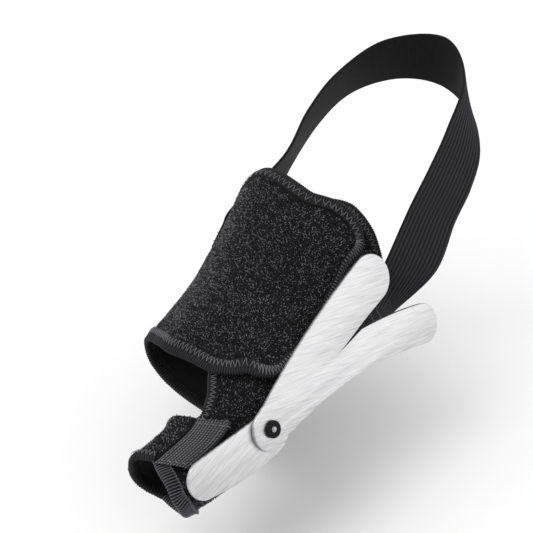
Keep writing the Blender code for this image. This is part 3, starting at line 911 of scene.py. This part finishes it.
share = np.linspace(0, 1, 28)[None, :]
angle = spread(TAPE_START, TAPE_END, 0.34, 0.74 * MM)[:, None] + 0 * share
place = between_edges(STRAP_EDGES, angle, share)
tape, outer = cloth(
    "hook_tape_woven", angle, place, toe_lap, "black_hook_tape", "hook_tape", TAPE,
    (tape_ground, tape_ground),
)
by_angle, by_place, normal = tangents(angle, place, toe_lap)
back, along = -unit(by_angle), unit(by_place)
turn = np.linspace(-1, 1, 4)
pillow = [
    (x * 0.2 * MM, y * 0.46 * MM, z * 0.24 * MM * (1 - 0.55 * y * y))
    for y in turn
    for x, z in ((-1, -0.3), (-0.7, 0.8), (0.0, 1.15), (0.7, 0.8), (1, -0.3))
]
pillow = solid("weft_shape", pillow, tube_faces(4, 5))
picks = parts_of([np.s_[i, (i + 1) % 2 :] for i in range(1, len(outer) - 1)], outer, back, normal)
weave = set_along("hook_tape_weave", picks, pillow, 1.2 * MM, weft)
seams = parts_of([np.s_[1:-1, k] for k in (2, -3)], outer, along, normal)
seams += parts_of([np.s_[k, 1:-1] for k in (2, -3)], outer, back, normal)
tape_stitches = straight_stitches(
    "hook_tape_stitches", seams, (0.1, 0.7, 1.4, 2.0), (0.1, 0.42, 0.42, 0.1), 2.3 * MM
)
pieces = [belongs(piece, "black_hook_tape") for piece in (weave, tape_stitches)]
declare(tape, outer, pieces, rests_on=["medial_panel_cloth"])

# Heel strap: elastic webbing with rubber cords woven in lengthwise, sewn to the cloth on both
# sides of the instep and stretched round the back of the heel.

BINDING = 2.8 * MM
LAYER_GAP = 0.7 * MM
ELASTIC = (0.25 * MM, 1.15 * MM)
ELASTIC_WIDTH = 23.5 * MM
RIBS = 13
RIB_HEIGHT = 0.42 * MM
# backward, medial, up, lean of the ribbon's face to the sky in degrees
HEEL_LOOP = (
    (0.178, 0.430, 0.18, 17),
    (0.228, 0.430, 0.47, 32),
    (0.272, 0.430, 0.67, 40),
    (0.324, 0.385, 0.84, 36),
    (0.391, 0.240, 0.97, 16),
    (0.430, 0.000, 1.02, 0),
    (0.391, -0.235, 0.97, 16),
    (0.328, -0.380, 0.83, 30),
    (0.275, -0.450, 0.64, 32),
    (0.215, -0.490, 0.36, 20),
)
HEEL_CENTRE = 0.250
# angle, place of the ribbon's centre where it is sewn on the cloth
MEDIAL_END = ((-12, -0.098), (-8, -0.122), (-3, -0.150))
LATERAL_END = ((175, -0.105), (180, -0.075), (186, -0.040))
SEWN_SPREAD = 15
SEWN_SHEAR = 0.025

across = np.linspace(1, -1, RIBS * 6 + 1)
sewn_lift = BINDING + LAYER_GAP + SEAM_GAP
stations = []
for angle, place in MEDIAL_END:
    stations.append(on_foot(angle + SEWN_SPREAD * across, place + SEWN_SHEAR * across, sewn_lift))
loop = [
    np.array((back * FOOT_LENGTH, -side * BALL_WIDTH, up * INSTEP_HEIGHT))
    for back, side, up, _ in HEEL_LOOP
]
ends = [
    on_foot(np.float64(spot[0]), np.float64(spot[1]), sewn_lift)
    for spot in (MEDIAL_END[-1], LATERAL_END[0])
]
for i, centre in enumerate(loop):
    before = loop[i - 1] if i else ends[0]
    after = loop[i + 1] if i + 1 < len(loop) else ends[1]
    outward = centre - np.array((HEEL_CENTRE * FOOT_LENGTH, 0, centre[2]))
    lean = math.radians(HEEL_LOOP[i][3])
    face = unit(outward) * math.cos(lean) + np.array((0, 0, math.sin(lean)))
    width = np.cross(after - before, face)
    width *= math.copysign(1, width[2]) * ELASTIC_WIDTH / 2 / np.linalg.norm(width)
    stations.append(centre + across[:, None] * width)
for angle, place in LATERAL_END:
    spot = (angle - SEWN_SPREAD * across, place + SEWN_SHEAR * across)
    stations.append(on_foot(*spot, sewn_lift + lap(*spot)))
stations = np.array(stations)
rows = []
for i in range(len(stations) - 1):
    p0, p1, p2 = stations[max(i - 1, 0)], stations[i], stations[i + 1]
    p3 = stations[min(i + 2, len(stations) - 1)]
    count = max(int(np.linalg.norm((p2 - p1).mean(0)) / (1.5 * MM)), 3)
    for s in np.linspace(0, 1, count, endpoint=False):
        bent = (2 * p0 - 5 * p1 + 4 * p2 - p3) * s * s + (3 * (p1 - p2) + p3 - p0) * s**3
        rows.append(p1 + ((p2 - p0) * s + bent) / 2)
rows = np.array(rows + [stations[-1]])
normal = unit(np.cross(np.gradient(rows, axis=1), np.gradient(rows, axis=0)))
normal *= np.sign((normal * (rows - rows.mean((0, 1)))).sum())
outer = rows + normal * ELASTIC[1]
inner = rows + normal * ELASTIC[0]

# Ribbed elastic: matt spun polyester over rubber, its colour painted darker in the valleys between the
# cords and lighter on their crests: painted shade and painted highlight.
elastic, tree, shader = finish("black_ribbed_elastic", Roughness=0.75, IOR=1.52, Specular_IOR_Level=0.25)
wefts = rows_of_yarn(tree, 0.42, 0.8, 3.0)
crest = node(tree, "ShaderNodeAttribute", {"attribute_name": "crest"}).outputs["Fac"]
# Weft bands plus the painted shade in the valleys and painted highlight on the crests of the cords.
weave_and_painted_light = maths(tree, "MULTIPLY_ADD", wefts, 0.25, crest)
paint(tree, shader, weave_and_painted_light, (0.3, "#040405"), (0.75, "#1c1c1f"), (1.0, "#28282c"))
relief(tree, shader, wefts, 0.5, 0.2 * MM)

# The cords: the face of the ribbon rises and falls across its width, as Ribs and Height say.
tree, given, result = new_tree(
    "cords_in_ribbon", ("Ribs", "Float"), ("Height", "Float"), ("Finish", "Material")
)
phase = maths(tree, "MULTIPLY", named(tree, "across", "FLOAT"), given["Ribs"])
wave = maths(tree, "SINE", maths(tree, "MULTIPLY", phase, math.pi))
wave = maths(tree, "POWER", maths(tree, "ABSOLUTE", wave), 0.6)
push = node(
    tree, "ShaderNodeVectorMath", {"operation": "SCALE"}, Vector=named(tree, "outward"),
    Scale=maths(tree, "MULTIPLY", wave, given["Height"]),
)
raised = node(
    tree, "GeometryNodeSetPosition", Geometry=given["Geometry"], Offset=push.outputs["Vector"]
)
rib_tree = tree_done(tree, given, result, raised.outputs[0])

plain = sheet_between("heel_strap_plain", outer, inner, [elastic, elastic])
# The crest values are 1 on the cords and 0 between them: the mask for the painted shade and highlight.
for name, values in (
    ("across", np.tile((across + 1) / 2, len(rows))),
    ("crest", np.tile(np.abs(np.sin((across + 1) / 2 * RIBS * math.pi)), len(rows))),
    ("outward", normal.reshape(-1, 3)),
):
    full = np.zeros((len(plain.data.vertices),) + values.shape[1:], np.float32)
    full[: len(values)] = values
    store(plain.data, name, full)
heel = grown(
    "heel_strap_elastic", plain, rib_tree, Ribs=float(RIBS), Height=RIB_HEIGHT, Finish=elastic
)
bpy.data.objects.remove(plain)
bars = parts_of(
    [np.s_[i, 4:-4] for i in (2, 4, -5, -3)], outer, unit(np.gradient(rows, axis=0)), normal
)
heel_stitches = straight_stitches(
    "heel_strap_stitches", bars, (0.1, 0.6, 1.3, 1.8), (0.2, 0.62, 0.62, 0.2), 2.0 * MM
)
belongs(heel, "black_elastic", "heel_strap")
belongs(heel_stitches, "black_elastic")
declare(heel, outer, [heel_stitches], rests_on=["medial_panel_cloth", "wrap_flap_cloth"])

# Splints: two plates blanked from sheet aluminium, their edges tumbled round and their faces
# brushed. One rivet through the panel holds both, so that the forked one can turn on it.

PLATE = 1.6 * MM
PLATE_GAP = 0.3 * MM
PLATE_EDGE = 0.32 * MM
SPLINT_TILT = 30
CLOTH = 2.2 * MM
RIVET_PLACE = 0.243
TOE_REACH = 35.5 * MM
TOE_UPPER = 6.6 * MM
TOE_TIP = 7.7 * MM
TOE_HUB = 8.6 * MM
TOE_BOW = 1.4 * MM
HUB_RADIUS = 8.8 * MM
CROTCH_WIDTH = 0.8 * MM
SLIT = 12 * MM
SLIT_RISE = math.radians(14)
# reach, rise in degrees, bow, half width at the rivet, half width at the end
UPPER_LEG = (78 * MM, 20, 2.0 * MM, 8.2 * MM, 10.0 * MM)
LOWER_LEG = (90 * MM, -2, 5.8 * MM, 7.6 * MM, 8.4 * MM)
SHANK_RADIUS = 1.2 * MM
HOLE_CLEARANCE = 0.3 * MM
# direction of the brushing on each plate, in degrees
TOE_BRUSH, FORK_BRUSH = 11.8, -14.3
FOOT_HEIGHT = 0.6 * MM

turned_up = Matrix.Rotation(math.radians(90 - SPLINT_TILT), 4, "X")
plate_normal = np.array(turned_up.col[2][:3])
seats = on_foot(np.arange(0.0, 90.0, 2.0), np.full(45, RIVET_PLACE), CLOTH)
seat = seats[np.argmax(seats @ plate_normal)]


def arc(centre, radius, start, end, count):
    turn = np.radians(np.linspace(start, end, count + 1))
    return [(centre[0] + radius * math.cos(a), centre[1] + radius * math.sin(a)) for a in turn]


def leg_edges(reach, rise, bow, root, end, count=48):
    """A splint leg that leaves the rivet and bows: right edge, left edge, end and direction."""
    cos, sin = math.cos(math.radians(rise)), math.sin(math.radians(rise))
    s = np.linspace(0, 1, count + 1)
    along, off = reach * s, bow * 4 * s * (1 - s)
    line = np.stack((along * cos - off * sin, along * sin + off * cos), -1)
    way = unit(np.concatenate((line[1:2] - line[:1], line[2:] - line[:-2], line[-1:] - line[-2:-1])))
    side = np.stack((-way[:, 1], way[:, 0]), -1) * (root + (end - root) * s)[:, None]
    return line - side, line + side, line[-1], math.degrees(math.atan2(way[-1, 1], way[-1, 0]))


def fork_outline():
    upper_right, upper_left, upper_end, upper_way = leg_edges(*UPPER_LEG)
    lower_right, lower_left, lower_end, lower_way = leg_edges(*LOWER_LEG)
    span = np.linspace(UPPER_LEG[0], HUB_RADIUS, 400)
    between = np.interp(span, *upper_right.T) - np.interp(span, *lower_left.T)
    crotch = span[int(np.argmax(between < CROTCH_WIDTH))]
    points = [point for point in lower_right if point[0] > HUB_RADIUS][:-1]
    points += arc(lower_end, LOWER_LEG[4], lower_way - 90, lower_way + 90, 32)
    points += [point for point in lower_left[-2::-1] if point[0] > crotch]
    # The cut between the legs runs on towards the rivet and narrows to nothing.
    fold = (crotch, np.interp(crotch, *upper_right.T) - CROTCH_WIDTH / 2)
    points += [(fold[0] - SLIT * math.cos(SLIT_RISE), fold[1] - SLIT * math.sin(SLIT_RISE))]
    points += [point for point in upper_right[:-1] if point[0] > crotch]
    points += arc(upper_end, UPPER_LEG[4], upper_way - 90, upper_way + 90, 32)
    points += [point for point in upper_left[-2::-1] if point[0] > 0]
    points += arc((0, 0), HUB_RADIUS, UPPER_LEG[1] + 100, 318, 40)
    return points


def splint(name, outline, height, brush, finish_used):
    """A plate with rounded edges and a rivet hole. brush is the direction of its grain."""
    curve = bpy.data.curves.new(name, "CURVE")
    curve.dimensions = "2D"
    curve.fill_mode = "BOTH"
    curve.extrude = PLATE / 2 - PLATE_EDGE
    curve.bevel_depth = PLATE_EDGE
    curve.bevel_resolution = 3
    curve.offset = -PLATE_EDGE
    for points in (outline, arc((0, 0), SHANK_RADIUS + HOLE_CLEARANCE, 0, 345, 23)):
        spline = curve.splines.new("POLY")
        spline.points.add(len(points) - 1)
        for knot, (x, y) in zip(spline.points, points):
            knot.co = (x, y, 0, 1)
        spline.use_cyclic_u = True
    drawn = link(name + "_outline", curve)
    mesh = mesh_made_by(drawn)
    bpy.data.objects.remove(drawn)
    bm = bmesh.new()
    bm.from_mesh(mesh)
    bmesh.ops.remove_doubles(bm, verts=bm.verts, dist=1e-6)
    bmesh.ops.recalc_face_normals(bm, faces=bm.faces)
    bm.to_mesh(mesh)
    bm.free()
    flat = np.empty(len(mesh.vertices) * 3, np.float32)
    mesh.vertices.foreach_get("co", flat)
    flat = flat.reshape(-1, 3)[:, :2] / MM
    cos, sin = math.cos(math.radians(brush)), math.sin(math.radians(brush))
    flat = np.stack((flat[:, 0] * cos + flat[:, 1] * sin, flat[:, 1] * cos - flat[:, 0] * sin), -1)
    while mesh.uv_layers:
        mesh.uv_layers.remove(mesh.uv_layers[0])
    set_flat(mesh, flat)
    mesh.materials.clear()
    mesh.materials.append(finish_used)
    mesh.transform(Matrix.Translation(seat + plate_normal * (height + PLATE / 2)) @ turned_up)
    mesh.shade_smooth()
    mesh.set_sharp_from_angle(angle=math.radians(40))
    return link(name, mesh)


# Brushed aluminium: bright and soft, with short overlapping strokes of a coarse belt, lighter
# and darker by turns, and fine scratches along them.
brushed, tree, shader = finish("brushed_aluminium", Metallic=1.0, Roughness=0.42, Anisotropic=0.5)
flat = laid_flat(tree)
strokes = []
for scale, detail in (((0.055, 0.8, 1), 3.0), ((0.09, 3.0, 1), 4.0)):
    stretched = node(tree, "ShaderNodeMapping", Vector=flat, Scale=scale, Rotation=(0, 0, 0.05))
    strokes.append(noise(tree, stretched.outputs[0], 1.0, detail, Distortion=0.2))
both = node(
    tree, "ShaderNodeMix", {"data_type": "FLOAT"}, Factor=0.68, A=strokes[0], B=strokes[1]
).outputs[0]
paint(tree, shader, both, (0.36, "#b0b0b2"), (0.5, "#cacacb"), (0.64, "#dcdcdd"))
rougher = node(
    tree, "ShaderNodeMapRange", Value=both, From_Min=0.35, From_Max=0.65, To_Min=0.34, To_Max=0.5
)
tree.links.new(rougher.outputs[0], shader.inputs["Roughness"])
relief(tree, shader, strokes[1], 0.25, 0.1 * MM)

toe_height = PLATE_GAP + FOOT_HEIGHT + PLATE_GAP
fork_height = toe_height + PLATE + PLATE_GAP
washer_height = fork_height + PLATE + PLATE_GAP
hub, tip = TOE_UPPER - TOE_HUB, TOE_UPPER - TOE_TIP
share = np.linspace(0, 1, 25)[1:-1]
fall = (tip - TOE_TIP) * (1 - share) + (hub - TOE_HUB) * share
lower = np.column_stack((-TOE_REACH * (1 - share), fall - TOE_BOW * 4 * share * (1 - share)))
toe_outline = arc((0, hub), TOE_HUB, -90, 90, 32)
toe_outline += arc((-TOE_REACH, tip), TOE_TIP, 90, 270, 36)
toe_outline += [tuple(point) for point in lower.tolist()]
toe_plate = splint("toe_splint_brushed", toe_outline, toe_height, TOE_BRUSH, brushed)
fork_plate = splint("fork_splint_brushed", fork_outline(), fork_height, FORK_BRUSH, brushed)
belongs(toe_plate, "brushed_aluminium", "toe_splint")
belongs(fork_plate, "brushed_aluminium", "fork_splint", body="fork")

# Rivet: a tubular aluminium rivet with a small domed head over a black nylon washer, and a
# broad foot under the splints.

FOOT_RADIUS = 3.2 * MM
CROWN = 0.4 * MM
WASHER_RADIUS = 3.5 * MM
WASHER = 1.2 * MM
WASHER_ROUND = 0.45 * MM
TURNS = 64


def turned(name, profile, height, finish_used, slot, stands_for):
    """A turned piece on the rivet's axis. A closed profile makes a ring."""
    ring = profile[0] == profile[-1]
    profile = profile[:-1] if ring else profile
    points, faces, pairs = [], [], []
    for k in range(TURNS):
        a = 2 * math.pi * k / TURNS
        for radius, z in profile:
            points.append((radius * math.cos(a), radius * math.sin(a), z))
            pairs.append((radius * a / MM, z / MM))
    n = len(profile)
    for k in range(TURNS):
        for i in range(n if ring else n - 1):
            a, b = k * n + i, k * n + (i + 1) % n
            c, d = (k + 1) % TURNS * n + (i + 1) % n, (k + 1) % TURNS * n + i
            faces.append((a, b, c, d))
    if not ring:
        faces.append(tuple(k * n for k in range(TURNS)))
        faces.append(tuple(k * n + n - 1 for k in range(TURNS))[::-1])
    made = solid(name, points, faces, pairs, [finish_used])
    made.data.transform(Matrix.Translation(seat + plate_normal * height) @ turned_up)
    made.data.set_sharp_from_angle(angle=math.radians(45))
    belongs(made, slot, stands_for)


def specks(tree, scale):
    """Fine specks in the piece's own coordinates."""
    return noise(tree, node(tree, "ShaderNodeTexCoord").outputs["Object"], scale, 2.0)


# Black nylon: moulded, satin, with a soft even gleam on its rounded shoulder.
nylon, tree, shader = finish(
    "black_satin_nylon", Base_Color=linear("#030303"), Roughness=0.5, IOR=1.53,
    Specular_IOR_Level=0.15,
)
relief(tree, shader, specks(tree, 2500.0), 0.15, 0.1 * MM)

# Pressed aluminium: smoother and brighter than the brushed plates, from the setting tool.
pressed, tree, shader = finish("pressed_aluminium", Metallic=1.0, Roughness=0.28)
paint(tree, shader, specks(tree, 1800.0), (0.3, "#8c8c8f"), (0.7, "#b0b0b2"))

hole = SHANK_RADIUS + HOLE_CLEARANCE
shoulder = [
    (WASHER_RADIUS + WASHER_ROUND * (math.sin(a) - 1), WASHER + WASHER_ROUND * (math.cos(a) - 1))
    for a in np.radians(np.linspace(0, 90, 7))
]
washer = [
    (hole, WASHER - 0.15 * MM), (hole + 0.15 * MM, WASHER), *shoulder, (WASHER_RADIUS, 0),
    (hole, 0), (hole, WASHER - 0.15 * MM),
]
turned("rivet_washer_nylon", washer, washer_height, nylon, "black_washer", "rivet_washer")
top, foot_top = washer_height + WASHER, PLATE_GAP + FOOT_HEIGHT
rivet = [
    (SHANK_RADIUS * math.sin(a), top + CROWN * math.cos(a) ** 1.4)
    for a in np.radians(np.linspace(4, 88, 8))
]
rivet += [
    (SHANK_RADIUS, top), (SHANK_RADIUS, foot_top), (FOOT_RADIUS - 0.2 * MM, foot_top),
    (FOOT_RADIUS, foot_top - 0.2 * MM), (FOOT_RADIUS, PLATE_GAP), (0.2 * MM, PLATE_GAP),
]
turned("rivet_pressed", rivet, 0, pressed, "brushed_aluminium", "rivet")

# Studio: a plain pale floor, low enough for the fork to swing above it, and large soft lights.

FLOOR_DROP = 32 * MM
TARGET = Vector((0.002146, 0.009305, 0.009671))
AZIMUTH, ELEVATION, DISTANCE = math.radians(-47), math.radians(39.3), 0.75
SENSOR = 36
# scale of the photo at the target, and its width in pixels
PIXELS_PER_MM, PHOTO_WIDTH = 2.41, 533
AIR_STRENGTH = 0.78
# place, size and power of each light
LIGHTS = {
    "key_softbox": ((-0.55, 0.35, 1.05), 0.9, 7.8),
    "fill_softbox": ((0.75, -1.05, 0.45), 0.9, 3),
    "rim_softbox": ((0.9, 0.8, 0.7), 0.5, 1.5),
}

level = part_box("medial_panel")[0][2] - FLOOR_DROP
floor = solid(
    "floor", [(x, y, level) for x, y in ((-3, -3), (3, -3), (3, 3), (-3, 3))], [(0, 1, 2, 3)],
    finishes=[plain_finish("pale_studio_paper", "#f2f2f2", Roughness=0.9)],
)
toward = Vector((
    math.sin(AZIMUTH) * math.cos(ELEVATION), -math.cos(AZIMUTH) * math.cos(ELEVATION), math.sin(ELEVATION),
))
lens = bpy.data.cameras.new("camera")
lens.sensor_width = SENSOR
lens.lens = PIXELS_PER_MM * DISTANCE / MM * SENSOR / PHOTO_WIDTH
camera = link("camera", lens)
camera.location = TARGET + toward * DISTANCE
camera.rotation_euler = (-toward).to_track_quat("-Z", "Y").to_euler()
bpy.context.scene.camera = camera
for name, (place, size, power) in LIGHTS.items():
    data = bpy.data.lights.new(name, "AREA")
    data.size = size
    data.energy = power
    light = link(name, data)
    light.location = place
    light.rotation_euler = (TARGET - Vector(place)).to_track_quat("-Z", "Y").to_euler()
world = bpy.data.worlds.new("studio_air")
world.use_nodes = True
world.node_tree.nodes["Background"].inputs["Color"].default_value = linear("#ffffff")
world.node_tree.nodes["Background"].inputs["Strength"].default_value = AIR_STRENGTH
bpy.context.scene.world = world
bpy.context.scene.view_settings.view_transform = "Standard"
